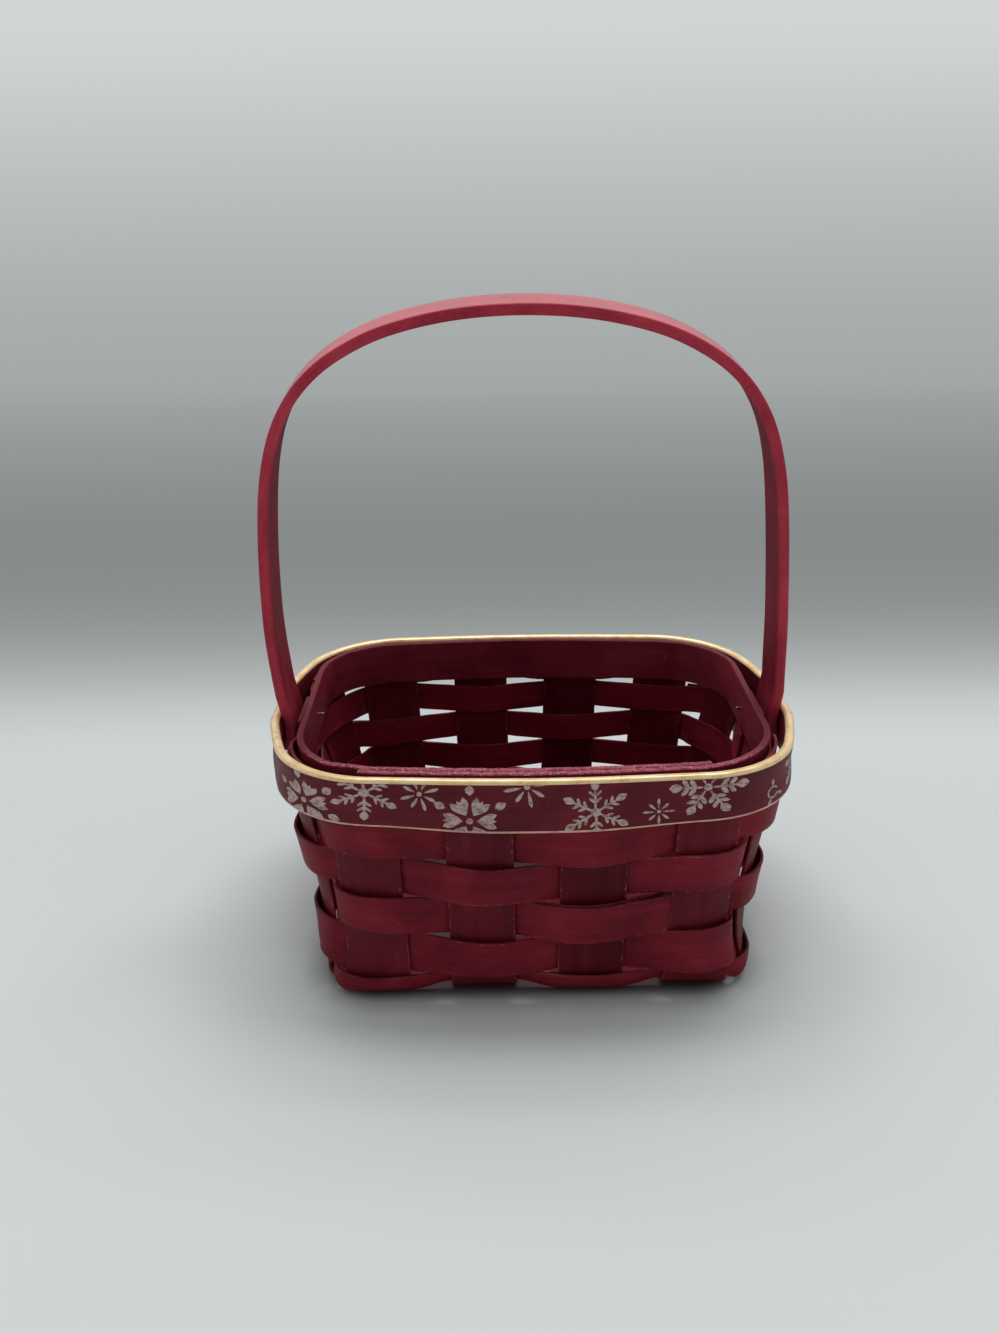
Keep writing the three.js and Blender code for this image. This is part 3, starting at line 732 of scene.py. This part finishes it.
def make_stake(name, side, where, starts_low, seed, wood):
    """A stake that comes down one wall, goes under and over the others in the base and runs up
    the opposite wall."""
    long_side = side % 2 == 0
    crossings = SIDE_STAKES if long_side else FRONT_STAKES
    pitch = SIDE_PITCH if long_side else FRONT_PITCH
    heights = [(-1 if (i % 2 == 0) == starts_low else 1) * BASE_WAVE for i in range(crossings)]
    ring = section(STAKE_WIDTH, SPLINT, SPLINT_ROUNDING, 8)
    across = ring[0] - STAKE_WIDTH / 2
    through = ring[1]
    middle = float(stake_middle(side, where, 0.0))
    start = -(crossings - 1) / 2 * pitch - STAKE_WIDTH / 2
    rows, run = [], []

    def add_wall(path, wall_side, hand, base_height, walked):
        settle = -base_height * (1 - smooth(path / LOWEST_START))
        turn = wall_side + hand * (stake_middle(side, where, path) + across) / quarter(path)
        rows.append(beside_wall(turn, np.full_like(turn, path), settle + through))
        run.append(walked)

    def add_flat(inward, height):
        rows.append(place(side, middle + across, -inward, height - through))
        run.append(inward - start + 1)

    paths = np.concatenate([np.linspace(0, LOWEST_START, 6),
                            np.linspace(LOWEST_START, FOLD_LENGTH, 9)[1:],
                            np.linspace(FOLD_LENGTH, STAKE_TOP, 22)[1:]])
    for path in paths[::-1]:
        add_wall(path, side, 1, heights[0], -path)
    for i, step in enumerate(centred(crossings)):
        crossing = step * pitch
        for x in np.linspace(-STAKE_WIDTH / 2, STAKE_WIDTH / 2, 4):
            add_flat(crossing + x, heights[i])
        if i < crossings - 1:
            for t in np.linspace(0, 1, 8)[1:-1]:
                x = STAKE_WIDTH / 2 + (pitch - STAKE_WIDTH) * t
                add_flat(crossing + x, heights[i] * (1 - 2 * smooth(t)))
    for path in paths:
        add_wall(path, (side + 2) % 4, -1, heights[-1], path + 2 - 2 * start)
    piece = sweep(f"splint_{name}", np.stack(rows, 1), False, run, ring, seed,
                  {"top": 1, "bottom": 1, "end": 1}, [wood, SPLINT_EDGE])
    stand_for(piece, name)


# Rim bands

def handle_bulge(turn):
    """How far the outer band is pushed out over the handle's ends."""
    side = np.round((turn - RIGHT) / 2) * 2 + RIGHT
    walked = np.abs(turn - side) * quarter(OUTER_TOP)
    return HANDLE_PUSH * (1 - smooth((walked - BULGE_FLAT) / BULGE_FADE))


def outer_band_point(turn, v, n):
    """A point of the outer band: v from its lower edge, n from the middle of its thickness."""
    path = OUTER_TOP - OUTER_HEIGHT + v
    return beside_wall(turn, path, BAND_OFFSET + OUTER_THICK / 2 + handle_bulge(turn) + n)


def make_outer_band():
    ring = section(OUTER_HEIGHT, OUTER_THICK, OUTER_ROUNDING, 9, arc=4,
                   top_rounding=OUTER_TOP_ROUNDING, lip=True)
    steps = 360
    turn = np.arange(steps) * 4 / steps
    columns = [outer_band_point(turn, v, n) for v, n in zip(*ring[:2])]
    piece = sweep("rim_band_outer", columns, True, turn * float(quarter(OUTER_TOP)), ring, 51,
                  {"top": 1, "bottom": 2}, [OUTER_WOOD, GOLD, FADED_GOLD])
    stand_for(piece, "outer_rim_band")


def make_inner_band():
    """The inner band, whose last stretch laps inside its first along the front."""
    ring = section(INNER_HEIGHT, INNER_THICK, INNER_ROUNDING, 8)
    side_length = float(quarter(INNER_TOP))
    round_length = 4 * side_length
    steps = 420
    walked = (round_length + INNER_OVERLAP) * np.arange(steps + 1) / steps
    turn = (walked - INNER_START) / side_length
    lapped = smooth((walked - round_length + INNER_RAMP) / INNER_RAMP)
    near = -BAND_OFFSET - INNER_THICK / 2 - (INNER_THICK + GAP) * lapped
    low = INNER_TOP - INNER_HEIGHT + INNER_BACK_LIFT * (1 - np.cos(turn * math.pi / 2)) / 2
    fray = wander(walked, 77, BAND_FRAY, ((9, 0.5), (23, 0.3), (41, 0.2)))
    columns = [beside_wall(turn, low + v + fray * eased(v / INNER_HEIGHT, *FRAYED_TOP), near + n)
               for v, n in zip(*ring[:2])]
    piece = sweep("rim_band_inner", columns, False, walked, ring, 61, {"top": 1, "end": 1},
                  [INNER_WOOD, ROUGH])
    stand_for(piece, "inner_rim_band")


# Handle

def half_arch(points, steps):
    """Points on a cubic B-spline along the given points, the last of which is the arch's middle."""
    p = np.asarray(points, float)
    p = np.vstack([2 * p[0] - p[1], p, p[-2] * [-1, 1]])
    out = []
    for s in np.linspace(0, len(points) - 1, steps + 1):
        i = min(int(s), len(points) - 2)
        t = s - i
        a, b, c, d = p[i:i + 4]
        out.append((a * (1 - t) ** 3 + b * (3 * t ** 3 - 6 * t ** 2 + 4)
                    + c * (-3 * t ** 3 + 3 * t ** 2 + 3 * t + 1) + d * t ** 3) / 6)
    return np.array(out)


def make_handle():
    """The bent strip, from one tucked end over the arch to the other. Its outer face's back edge
    stands a little higher than its front edge at the top."""
    legs = []
    for share in np.arange(6) / 6:
        path = OUTER_TOP - HANDLE_TUCK * (1 - share)
        p = beside_wall(1.0, path, BAND_OFFSET + HANDLE_THICK)
        legs.append((p[0], p[2]))
    rim = wall_point(1.0, OUTER_TOP)
    half_span = rim[0] - RIM_SWELL + BAND_OFFSET + HANDLE_THICK + HANDLE_SPREAD
    arch = half_arch([(half_span * a, rim[2] + HANDLE_RISE * b) for a, b in ARCH], 110)
    right = np.vstack([legs, arch])
    line = np.vstack([right, right[:-1][::-1] * [-1, 1]])
    d = np.gradient(line, axis=0)
    d /= np.linalg.norm(d, axis=1, keepdims=True)
    outward = np.stack([d[:, 1], -d[:, 0]], 1)
    share = np.maximum(line[:, 1] - rim[2], 0) / HANDLE_RISE
    lean = -HANDLE_LEAN * (1 - (1 - share) ** HANDLE_LEAN_POWER)
    tip = HANDLE_TIP * eased(share, *HANDLE_TIP_SHARES)
    run = np.append(0, np.cumsum(np.linalg.norm(np.diff(line, axis=0), axis=1)))
    ring = section(HANDLE_WIDTH, HANDLE_THICK, HANDLE_ROUNDING, 8, arc=4)
    columns = []
    for v, n in zip(*ring[:2]):
        inset = HANDLE_THICK / 2 - n - tip * v / HANDLE_WIDTH
        x = line[:, 0] - outward[:, 0] * inset + lean
        z = line[:, 1] - outward[:, 1] * inset
        columns.append(np.stack([x, np.full_like(x, v - HANDLE_WIDTH / 2), z], 1))
    # The outer face takes the painted lit copy of the wood and the inner face the painted shade copy.
    piece = sweep("bent_handle", columns, False, run, ring, 71, {"outer": 1, "inner": 2},
                  [HANDLE_WOOD, HANDLE_PAINTED_LIT_WOOD, HANDLE_PAINTED_SHADE_WOOD])
    stand_for(piece, "handle")


# The print on the outer band: flat shapes in mm, each a list of sections of two points

LEAST_PETAL = 0.03
LEAST_DISC = 0.01


def petal(start, end, width, widest=0.6, steps=6):
    """A petal along x, which is widest at a share of its length."""
    rows = []
    for i in range(steps + 1):
        t = i / steps
        phase = t / (2 * widest) if t < widest else 0.5 + (t - widest) / (1 - widest) / 2
        x = start + (end - start) * t
        w = width / 2 * math.sin(math.pi * phase) + LEAST_PETAL
        rows.append(((x, w), (x, -w)))
    return rows


def bar(x0, y0, x1, y1, width, steps=4):
    """A straight stroke with slightly tapered ends."""
    angle = math.atan2(y1 - y0, x1 - x0)
    c, s = math.cos(angle), math.sin(angle)
    rows = []
    for i in range(steps + 1):
        t = i / steps
        w = width / 2 * (1.0 if 0 < i < steps else 0.55)
        x, y = x0 + (x1 - x0) * t, y0 + (y1 - y0) * t
        rows.append(((x - w * s, y + w * c), (x + w * s, y - w * c)))
    return rows


def disc(radius, steps=6):
    rows = []
    for i in range(steps + 1):
        a = math.pi * i / steps
        w = radius * math.sin(a) + LEAST_DISC
        rows.append(((-radius * math.cos(a), w), (-radius * math.cos(a), -w)))
    return rows


def turned(rows, angle):
    c, s = math.cos(angle), math.sin(angle)
    return [tuple((x * c - y * s, x * s + y * c) for x, y in row) for row in rows]


def moved(rows, distance):
    return [tuple((x + distance, y) for x, y in row) for row in rows]


def petal_flake():
    """Six tulip-like arms, each of three leaves, with a small diamond beyond every gap."""
    shapes = [disc(0.95)]
    for k in range(6):
        arm = [moved(turned(petal(0.0, 5.6, 2.1, 0.68), 0.37 * hand), 2.0) for hand in (-1, 1)]
        arm += [petal(1.8, 7.2, 1.4), turned(petal(7.8, 11.2, 2.5, 0.45, 4), math.pi / 6)]
        shapes += [turned(part, k * math.pi / 3) for part in arm]
    return shapes


def ray_star(size):
    """Eight plain rays, every other one a little shorter."""
    shapes = [disc(size * 0.13)]
    for k in range(8):
        reach = size if k % 2 == 0 else size * 0.86
        shapes.append(turned(petal(size * 0.22, reach, size * 0.17, 0.72), k * math.pi / 4))
    return shapes


def branch_flake(size):
    """Six stems, each with two pairs of twigs and a leaf at its tip."""
    shapes = [disc(size * 0.14)]
    for k in range(6):
        arm = [bar(size * 0.08, 0, size * 0.68, 0, size * 0.075)]
        for x in (size * 0.30, size * 0.50):
            arm += [bar(x, 0, x + size * 0.16, hand * size * 0.17, size * 0.085, 3) for hand in (-1, 1)]
        arm.append(petal(size * 0.64, size * 1.02, size * 0.22, 0.55))
        shapes += [turned(part, k * math.pi / 3 + math.pi / 6) for part in arm]
    return shapes


def fern_flake(size):
    """Six leafy sprays: a tip leaf and two pairs of side leaves on each stem."""
    shapes = [disc(size * 0.10)]
    for k in range(6):
        arm = [bar(size * 0.12, 0, size * 0.66, 0, size * 0.07)]
        for at in (0.28, 0.47):
            for hand in (-1, 1):
                leaf = petal(0.0, size * 0.30, size * 0.125, 0.6, 4)
                arm.append(moved(turned(leaf, hand * 0.85), size * at))
        arm.append(petal(size * 0.62, size * 1.0, size * 0.25))
        shapes += [turned(part, k * math.pi / 3) for part in arm]
    return shapes


def loop_motif(size):
    """A small loop with three leaves, part of a larger flake cut at the corner."""
    radius = size * 0.42
    ends = [(radius * math.cos(0.6 * k), radius * math.sin(0.6 * k)) for k in range(10)]
    shapes = [bar(*a, *b, size * 0.16, 2) for a, b in zip(ends, ends[1:])]
    shapes.append(turned(petal(size * 0.5, size * 1.1, size * 0.26), 1.1))
    shapes.append(turned(petal(size * 0.45, size * 1.0, size * 0.26), 3.9))
    shapes.append(turned(petal(size * 0.45, size * 1.0, size * 0.22), 5.4))
    return shapes


# Each motif's place round the band from the middle of the front, its height over the band's
# lower edge, how it is turned, and its shapes. Round the back and the left they go on freely.
MOTIFS = [
    (-63.0, 5.0, 0.2, petal_flake()), (-46.5, 12.2, 0.0, branch_flake(9.6)),
    (-31.8, 12.0, 0.3, ray_star(5.6)), (-18.3, 3.9, 0.0, petal_flake()), (-3.0, 14.3, 0.2, ray_star(6.4)),
    (15.4, 6.2, 0.05, branch_flake(9.7)), (32.4, 5.2, 0.0, ray_star(4.5)),
    (45.6, 12.4, 0.0, fern_flake(10.6)), (64.5, 4.6, 0.4, loop_motif(4.6)),
    (79.0, 8.6, 0.1, branch_flake(9.2)), (95.0, 13.0, 0.0, ray_star(5.4)), (109.5, 5.0, 0.3, petal_flake()),
    (126.0, 12.6, 0.0, ray_star(6.0)), (141.0, 6.6, 0.0, fern_flake(9.8)),
    (157.5, 11.6, 0.2, branch_flake(9.4)), (174.0, 4.0, 0.1, ray_star(5.0)),
    (189.5, 8.0, 0.0, petal_flake()), (207.0, 12.4, 0.3, ray_star(5.8)),
    (222.0, 6.0, 0.0, branch_flake(9.8)), (239.0, 11.0, 0.15, fern_flake(10.2)),
    (255.5, 4.2, 0.0, ray_star(4.8)), (271.0, 9.0, 0.25, petal_flake()), (288.0, 13.2, 0.0, ray_star(5.6)),
    (303.0, 5.6, 0.1, branch_flake(9.4)), (319.5, 11.4, 0.0, loop_motif(4.8)),
    (333.0, 6.2, 0.3, fern_flake(9.6)), (348.5, 12.6, 0.0, ray_star(5.6)),
]
PRINT_LOW = 0.62
PRINT_HIGH = 14.75
PRINT_LIFT = 0.035
LONGEST_PRINT_EDGE = 2.2


def make_print():
    """Snowflakes on the outer band's outer face, cut off at its two edges as a printed strip is."""
    side_length = float(quarter(OUTER_TOP - OUTER_HEIGHT / 2))
    verts, faces = [], []
    for along, height, angle, shapes in MOTIFS:
        for rows in shapes:
            a = len(verts)
            for x, y in (point for row in turned(rows, angle) for point in row):
                v = min(max(height + y, PRINT_LOW), PRINT_HIGH)
                point = outer_band_point((along + x) / side_length, v, OUTER_THICK / 2 + PRINT_LIFT)
                verts.append(tuple(point * MM))
            faces += [(a + i, a + i + 1, a + i + 3, a + i + 2) for i in range(0, 2 * len(rows) - 2, 2)]
    mesh = bpy.data.meshes.new("rim_print")
    mesh.from_pydata(verts, [], faces)
    mesh.materials.append(INK)
    bm = bmesh.new()
    bm.from_mesh(mesh)
    bmesh.ops.dissolve_degenerate(bm, dist=1e-6, edges=bm.edges)
    long_edges = [e for e in bm.edges if e.calc_length() > LONGEST_PRINT_EDGE * MM]
    bmesh.ops.subdivide_edges(bm, edges=long_edges, cuts=1, use_grid_fill=True)
    bm.normal_update()
    for f in bm.faces:
        c = f.calc_center_median()
        if f.normal.dot(Vector((c.x / BASE_X, c.y / BASE_Y, 0))) < 0:
            f.normal_flip()
    bm.to_mesh(mesh)
    bm.free()
    mesh.shade_smooth()
    piece = link_object("rim_print", mesh)
    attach(piece, "root")


# The basket

# The third front-to-back stake takes the copy of the stake wood with painted shade.
for i, where in enumerate(centred(FRONT_STAKES)):
    make_stake(f"front_to_back_stake_{i + 1}", FRONT, where, i % 2 == 0, 200 + i,
               PAINTED_SHADE_STAKE_WOOD if i == 2 else STAKE_WOOD)
for i, where in enumerate(centred(SIDE_STAKES)):
    make_stake(f"side_to_side_stake_{i + 1}", LEFT, -where, i % 2 == 1, 210 + i, STAKE_WOOD)
for row in range(ROWS):
    make_weaver(row, 100 + 10 * row)
make_outer_band()
make_inner_band()
make_handle()
make_print()
for i in range(TACKS):
    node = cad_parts[f"tack_{i + 1}"]
    node.data.materials.clear()
    node.data.materials.append(TACK)


# The stage, in metres

SWEEP_START = -0.4
SWEEP_END = 1.1
SWEEP_RADIUS = 0.12
SWEEP_TOP = 0.42
SWEEP_HALF = 2.0
# Where along the sweep each grey of the painted shading stands, as shares of a stretch that starts just
# behind the basket
PAPER_START = 0.10
PAPER_LENGTH = 1.5
PAINTED_SWEEP_SHADES = [
    (0.0, 212), (0.023, 206), (0.053, 180), (0.089, 155), (0.133, 141), (0.213, 135), (0.30, 140),
    (0.43, 149), (0.636, 160), (0.78, 172), (0.865, 186), (0.935, 199), (1.0, 213),
]
GLOWING_FAR_PAPER = (0.125, 0.215)
# The rounded patch of painted shadow under the basket: its core's half sizes, and how far from the core the
# paper is painted with the dark painted shadow and with the lighter painted contact shade
PATCH_CORE = (0.046, 0.038)
PAINTED_SHADOW_REACH = (0.0115, 0.0185)
SHADED_REACH = (0.0135, 0.0265)
PAINTED_SHADOW_SHARE = 0.9
SHADED_SHARE = 0.4
PAINTED_SHADOW_PAPER = srgb(66, 34, 38)


def painted_sweep_shading(m, run):
    """Painted shading along the sweep: a grey for each place, which stands for the light falling there."""
    ramp = m.tree.nodes.new("ShaderNodeValToRGB")
    ramp.color_ramp.interpolation = "B_SPLINE"
    elements = ramp.color_ramp.elements
    elements[0].position = PAINTED_SWEEP_SHADES[0][0]
    elements[1].position = PAINTED_SWEEP_SHADES[-1][0]
    for at, _ in PAINTED_SWEEP_SHADES[1:-1]:
        elements.new(at)
    for element, (_, tone) in zip(elements, PAINTED_SWEEP_SHADES):
        element.color = srgb(tone - 2, tone + 2, tone + 1.5)
    share = m.math("DIVIDE", m.math("SUBTRACT", run, PAPER_START), PAPER_LENGTH)
    m.link(share, ramp.inputs["Fac"])
    return ramp.outputs["Color"]


def from_patch(m):
    """How far a place of the paper lies from the core of the painted shadow under the basket."""
    squares = []
    for i, core in enumerate(PATCH_CORE):
        past = m.math("SUBTRACT", m.math("ABSOLUTE", m.axis(m.place(), i)), core)
        past = m.math("MAXIMUM", past, 0.0)
        squares.append(m.times(past, past))
    return m.math("SQRT", m.math("ADD", *squares))


def stage_material():
    """Pale paper under the basket that runs back into a grey sweep, with painted shading that is lighter
    again towards its top.
    The far part glows with this painted shading, and the near part is lit, keeps the basket's shadow and
    has a little painted shade further back.
    Under the basket a painted shadow darkens the patch, so that little light shows through the open base,
    and a painted contact shade rings it."""
    m = Nodes("paper_sweep")
    run = m.axis(m.uv("sweep"), 0)
    # The tone of the sweep is painted shading.
    tone = painted_sweep_shading(m, run)
    away = from_patch(m)
    # Painted shadow: the patch under the basket is painted dark, and a wider ring round it is painted with
    # a lighter contact shade.
    painted_shadow = m.ramp(away, *PAINTED_SHADOW_REACH, 1, 0)
    shaded = m.ramp(away, *SHADED_REACH, 1, 0)
    # Painted shade: the near paper is painted a little darker further back and in the ring round the
    # basket.
    level_of_light = m.ramp(run, -0.15, 0.08, 1.0, 0.92)
    level_of_light = m.times(level_of_light, m.math("SUBTRACT", 1.0, m.times(shaded, SHADED_SHARE)))
    lit = m.mix(1.0, tone, level_of_light, "MULTIPLY")
    lit = m.mix(m.times(painted_shadow, PAINTED_SHADOW_SHARE), lit, PAINTED_SHADOW_PAPER)
    m.link(lit, m.shader.inputs["Base Color"])
    m.shader.inputs["Roughness"].default_value = 0.9
    m.shader.inputs["Specular IOR Level"].default_value = 0.1
    # Painted light: for the camera and for reflections the far part of the sweep glows with the painted
    # shading.
    glow = m.tree.nodes.new("ShaderNodeEmission")
    m.link(tone, glow.inputs["Color"])
    rays = m.tree.nodes.new("ShaderNodeLightPath").outputs
    seen = m.math("MAXIMUM", rays["Is Camera Ray"],
                  m.math("MAXIMUM", rays["Is Glossy Ray"], rays["Is Transmission Ray"]))
    both = m.tree.nodes.new("ShaderNodeMixShader")
    m.link(m.times(seen, m.ramp(run, *GLOWING_FAR_PAPER)), both.inputs[0])
    m.link(m.shader.outputs[0], both.inputs[1])
    m.link(glow.outputs[0], both.inputs[2])
    m.link(both.outputs[0], m.out.inputs["Surface"])
    return m.material


def make_stage():
    """A sheet of paper that runs back over the floor and curves up into a short wall."""
    rows = [(-SWEEP_HALF, 0, -SWEEP_HALF)] + [(y, 0, y) for y in np.linspace(SWEEP_START, SWEEP_END, 32)]
    for a in math.pi / 2 * np.arange(1, 17) / 16:
        rows.append((SWEEP_END + SWEEP_RADIUS * math.sin(a), SWEEP_RADIUS * (1 - math.cos(a)),
                     SWEEP_END + SWEEP_RADIUS * a))
    y, z, run = rows[-1]
    rows += [(y, z + rise, run + rise) for rise in (0.1, 0.2, 0.3, SWEEP_TOP)]
    verts = [(x, y, z) for y, z, _ in rows for x in (-SWEEP_HALF, SWEEP_HALF)]
    faces = [(2 * i, 2 * i + 1, 2 * i + 3, 2 * i + 2) for i in range(len(rows) - 1)]
    mesh = bpy.data.meshes.new("paper_sweep")
    mesh.from_pydata(verts, [], faces)
    layer = mesh.uv_layers.new(name="sweep")
    for loop in mesh.loops:
        layer.data[loop.index].uv = (rows[loop.vertex_index // 2][2], 0)
    mesh.materials.append(stage_material())
    mesh.shade_smooth()
    link_object("paper_sweep", mesh)


# Light and camera

def softbox(name, location, target, size, power):
    data = bpy.data.lights.new(name, "AREA")
    data.shape = "RECTANGLE"
    data.size, data.size_y = size
    data.energy = power
    lamp = link_object(name, data)
    lamp.location = location
    direction = Vector(target) - Vector(location)
    lamp.rotation_euler = direction.to_track_quat("-Z", "Y").to_euler()


def make_world():
    """A wide soft light, a little stronger behind the basket than in front of it."""
    world = bpy.data.worlds.new("studio")
    bpy.context.scene.world = world
    world.use_nodes = True
    tree = world.node_tree
    tree.nodes.clear()
    out = tree.nodes.new("ShaderNodeOutputWorld")
    back = tree.nodes.new("ShaderNodeBackground")
    way = tree.nodes.new("ShaderNodeTexCoord")
    parts = tree.nodes.new("ShaderNodeSeparateXYZ")
    backward = tree.nodes.new("ShaderNodeMath")
    backward.operation = "MULTIPLY_ADD"
    backward.inputs[1].default_value = 0.20
    backward.inputs[2].default_value = 0.56
    tree.links.new(way.outputs["Generated"], parts.inputs[0])
    tree.links.new(parts.outputs[1], backward.inputs[0])
    tree.links.new(backward.outputs[0], back.inputs["Strength"])
    back.inputs["Color"].default_value = (0.95, 0.99, 1.0, 1)
    tree.links.new(back.outputs[0], out.inputs["Surface"])


PHOTO_WIDTH_PIXELS = 999.0
LENS_PIXELS = 1073.9
SENSOR_WIDTH = 36.0
CAMERA_PLACE = (-12.04, -307.36, 211.45)
PITCH = 0.3974
ROLL = -0.0106
YAW = 0.0078


def make_camera():
    """The photograph's view: a phone held level in front, looking down at the basket."""
    data = bpy.data.cameras.new("camera")
    data.sensor_fit = "HORIZONTAL"
    data.sensor_width = SENSOR_WIDTH
    data.lens = SENSOR_WIDTH * LENS_PIXELS / PHOTO_WIDTH_PIXELS
    data.clip_start = 0.01
    camera = link_object("camera", data)
    right = Vector((math.cos(YAW), -math.sin(YAW), 0))
    ahead = Vector((math.sin(YAW), math.cos(YAW), 0))
    above = Vector((0, 0, 1))
    forward = math.cos(PITCH) * ahead - math.sin(PITCH) * above
    upward = math.cos(PITCH) * above + math.sin(PITCH) * ahead
    x_axis = math.cos(ROLL) * right + math.sin(ROLL) * upward
    y_axis = math.cos(ROLL) * upward - math.sin(ROLL) * right
    pose = Matrix((x_axis, y_axis, -forward)).transposed().to_4x4()
    pose.translation = Vector(CAMERA_PLACE) * MM
    camera.matrix_world = pose
    bpy.context.scene.camera = camera


make_stage()
make_world()
softbox("softbox_top", (0.05, 0.40, 1.20), (0, 0.0, 0.05), (1.0, 0.5), 10.3)
make_camera()
bpy.context.scene.view_settings.view_transform = "Standard"
